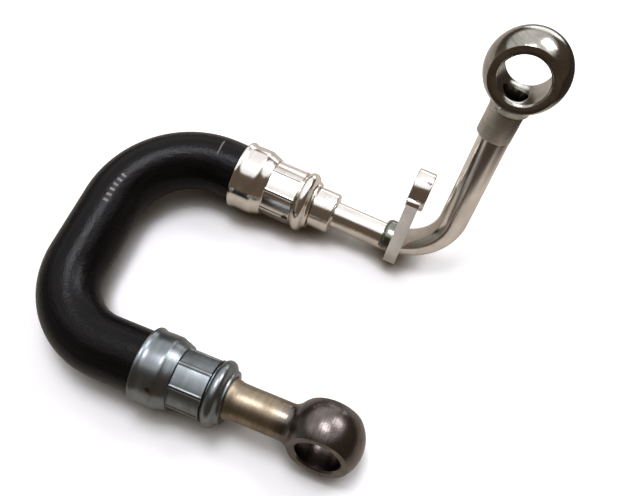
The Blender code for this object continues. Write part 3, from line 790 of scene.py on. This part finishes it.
def make_floor():
    """Studio paper: matt pressed pulp, which gives the eye a plain white with the object's soft shadow."""
    bpy.ops.object.select_all(action="DESELECT")
    bpy.ops.mesh.primitive_plane_add(size=1, location=FLOOR_MIDDLE, scale=FLOOR_SIZE)
    floor = name_piece("studio_floor")
    material, tree, _ = new_material("white studio paper")
    rays = node(tree, "ShaderNodeLightPath")
    place_on_floor = node(tree, "ShaderNodeTexCoord").outputs["Object"]

    def within(direction, near, far):
        """1 up to the near distance in the direction, and 0 past the far one."""
        reach = node(tree, "ShaderNodeVectorMath", {"operation": "DOT_PRODUCT"}, i0=place_on_floor,
                     i1=tuple(direction))
        return node(tree, "ShaderNodeMapRange", Value=reach.outputs["Value"], From_Min=near, From_Max=far,
                    To_Min=1.0, To_Max=0.0).outputs["Result"]

    # In reflections and as a source of bounced light the paper ends in front and on the right,
    # where the room is dark
    lit = node(tree, "ShaderNodeMath", {"operation": "MULTIPLY"}, i0=within(-PICTURE_UP, 0.10, 0.15),
               i1=within(PICTURE_RIGHT, 0.095, 0.125)).outputs["Value"]
    mirrored = node(tree, "ShaderNodeMix", MIX_COLOURS, i0=lit, i6=colour("3d352e"), i7=colour("bdb5aa"))
    # Close under the object a brown shadow is painted into the paper, where the ambient occlusion finds
    # little open sky
    open_sky = node(tree, "ShaderNodeAmbientOcclusion", {"samples": 16}, Distance=PAINTED_SHADOW_REACH * MM)
    painted_shadow_share = node(tree, "ShaderNodeMapRange", Value=open_sky.outputs["AO"], From_Min=0.36, From_Max=0.86)
    # Far from the object the lamps fall off, so the paper is paler there and stays white
    away = node(tree, "ShaderNodeVectorMath", {"operation": "LENGTH"}, i0=place_on_floor)
    far = node(tree, "ShaderNodeMapRange", Value=away.outputs["Value"], From_Min=0.15, From_Max=0.32)
    open_paper = node(tree, "ShaderNodeMix", MIX_COLOURS, i0=far.outputs["Result"], i6=PAPER_NEAR,
                      i7=PAPER_FAR)
    seen = node(tree, "ShaderNodeMix", MIX_COLOURS, i0=painted_shadow_share.outputs["Result"], i6=PAINTED_SHADOW_TONE,
                i7=open_paper.outputs[2])
    paper = node(tree, "ShaderNodeMix", MIX_COLOURS, i0=rays.outputs["Is Camera Ray"],
                 i6=mirrored.outputs[2], i7=seen.outputs[2])
    matt = node(tree, "ShaderNodeBsdfDiffuse", Color=paper.outputs[2])
    tree.links.new(matt.outputs["BSDF"], tree.nodes["Material Output"].inputs["Surface"])
    floor.data.materials.append(material)


def area_lamp(name, way, distance, size, watts, tint):
    """A soft lamp that lies in the given direction (right, up the picture, height) and faces the object."""
    data = bpy.data.lights.new(name, "AREA")
    data.shape = "SQUARE"
    data.size = size
    data.energy = watts
    data.color = colour(tint)[:3]
    lamp = bpy.data.objects.new(name, data)
    bpy.context.scene.collection.objects.link(lamp)
    towards = (PICTURE_RIGHT * way[0] + PICTURE_UP * way[1] + Vector((0, 0, way[2]))).normalized()
    turn = towards.to_track_quat("Z", "Y").to_matrix().to_4x4()
    lamp.matrix_world = Matrix.Translation(towards * distance) @ turn


def make_light():
    """A dim warm room with a wide bright panel above and behind the object, a window and two soft lamps."""
    world = bpy.data.worlds.new("studio")
    bpy.context.scene.world = world
    world.use_nodes = True
    tree = world.node_tree
    way = node(tree, "ShaderNodeTexCoord").outputs["Generated"]

    def facing(direction, low, high):
        """0 to 1 as the way into the room comes nearer to the direction."""
        nearness = node(tree, "ShaderNodeVectorMath", {"operation": "DOT_PRODUCT"}, i0=way,
                        i1=tuple(direction.normalized()))
        return node(tree, "ShaderNodeMapRange", {"interpolation_type": "SMOOTHSTEP"},
                    Value=nearness.outputs["Value"], From_Min=low, From_Max=high).outputs["Result"]

    sides = node(tree, "ShaderNodeMix", MIX_COLOURS, i0=facing(PICTURE_RIGHT, -1.0, -0.55),
                 i6=colour("8a8c84"), i7=colour("5f5145")).outputs[2]
    panel = facing(PICTURE_UP * 0.5 + Vector((0, 0, 0.87)), 0.60, 0.69)
    room = node(tree, "ShaderNodeMix", MIX_COLOURS, i0=panel, i6=sides, i7=PANEL_LIGHT).outputs[2]
    # The window is low behind the object
    window = facing(Vector((0.08, 0.98, -0.15)), 0.93, 0.965)
    room = node(tree, "ShaderNodeMix", MIX_COLOURS, i0=window, i6=room, i7=WINDOW_LIGHT).outputs[2]
    rays = node(tree, "ShaderNodeLightPath")
    seen = node(tree, "ShaderNodeMix", MIX_COLOURS, i0=rays.outputs["Is Camera Ray"], i6=room, i7=BACKDROP)
    background = tree.nodes["Background"]
    tree.links.new(seen.outputs[2], background.inputs["Color"])
    background.inputs["Strength"].default_value = ROOM_STRENGTH
    area_lamp("ceiling_lamp", (0.0, 0.20, 0.98), 0.6, 0.20, 1.4, "f8f6ff")
    area_lamp("right_lamp", (0.56, 0.43, 0.72), 0.9, 0.35, 2.4, "f8f8ff")


make_camera()
rubber = moulded_rubber()
# Steel pressed from sheet and zinc plated in a barrel. It gives a blue-grey satin whose highlights spread
# into soft streaks. The two small brown spots make one stain on the band.
zinc = plated_metal("zinc plated steel", LOWER_LEG, "8d9395", "6c7274", 0.30, 0.05, 1.6, 0.10,
                    stains_and_shade=[((5.1, -7.4, 6.9), 0.9, "5a3a22"), ((5.9, -7.6, 6.2), 0.5, "5a3a22")])
# Nickel laid on polished steel. It mirrors the white panel and the dark room as firm light and brown bands.
# The dark spot is painted shade inside the small pocket.
bright = plated_metal("bright nickel plate", UPPER_LEG, "f3eee8", "dcd6ce", 0.16, 0.04, 1.2, 0.10,
                      stains_and_shade=[((17.7, -8.0, 1.0), 1.35, "1c1613")])
# Steel turned on a lathe and passivated yellow. Fine rings half a millimetre apart draw the highlight out
# across the tan shank, and past it the ball has gone a dark brown grey.
yellow = plated_metal("yellow passivated steel", LOWER_LEG, "a2947f", "786d5a", 0.40, 0.05, 0.50, 0.7,
                      beyond=(36.5, 40.5, "7d7470", "4c4542", -0.15))
# The cut edge of the plate, left rough by the shears under a thin pale plate. It scatters light and so shows
# an even pale grey with no reflections, as a matt surface does, which is why it isn't metallic here.
sheared = plated_metal("matt sheared steel edge", UPPER_LEG, "f6f1e9", "e4ddd3", 0.60, 0.08, 1.2, 0.30,
                       metallic=0.0)
# The same nickel on the half collar, painted a darker green grey for the shade beside the plate, with a soft
# spot of light.
grey = plated_metal("nickel plate with painted shade", UPPER_LEG, "94958c", "6d6c64", 0.20, 0.05, 1.2, 0.16)
# Bare steel, turned on the neck, which is pale and dull, and polished on the ball, which is darker and shiny.
eye_frame = UPPER_LEG @ Matrix.Translation(BALL_CENTRE * MM) @ pointed(Vector((0, 0, 0)), RISE, ALONG)
satin = plated_metal("satin turned steel", eye_frame, "d2cdc4", "a8a299", 0.42, 0.06, 0.35, 0.4,
                     beyond=(-10.8, -10.4, "b1aea5", "87837a", -0.25))

make_hose(rubber)
make_ferrule("lower_sleeve", LOWER_LEG, LOWER_ROLL, zinc, "lower_ferrule")
make_ferrule("upper_sleeve", UPPER_LEG, UPPER_ROLL, bright, "upper_ferrule", POCKET_PLACE)
make_lower_fitting(yellow)
make_nipple(bright)
make_tube(bright)
make_plate(sheared, grey, bright)
make_bush(bright)
make_eye(satin)

make_floor()
make_light()
bpy.context.scene.view_settings.view_transform = "Standard"
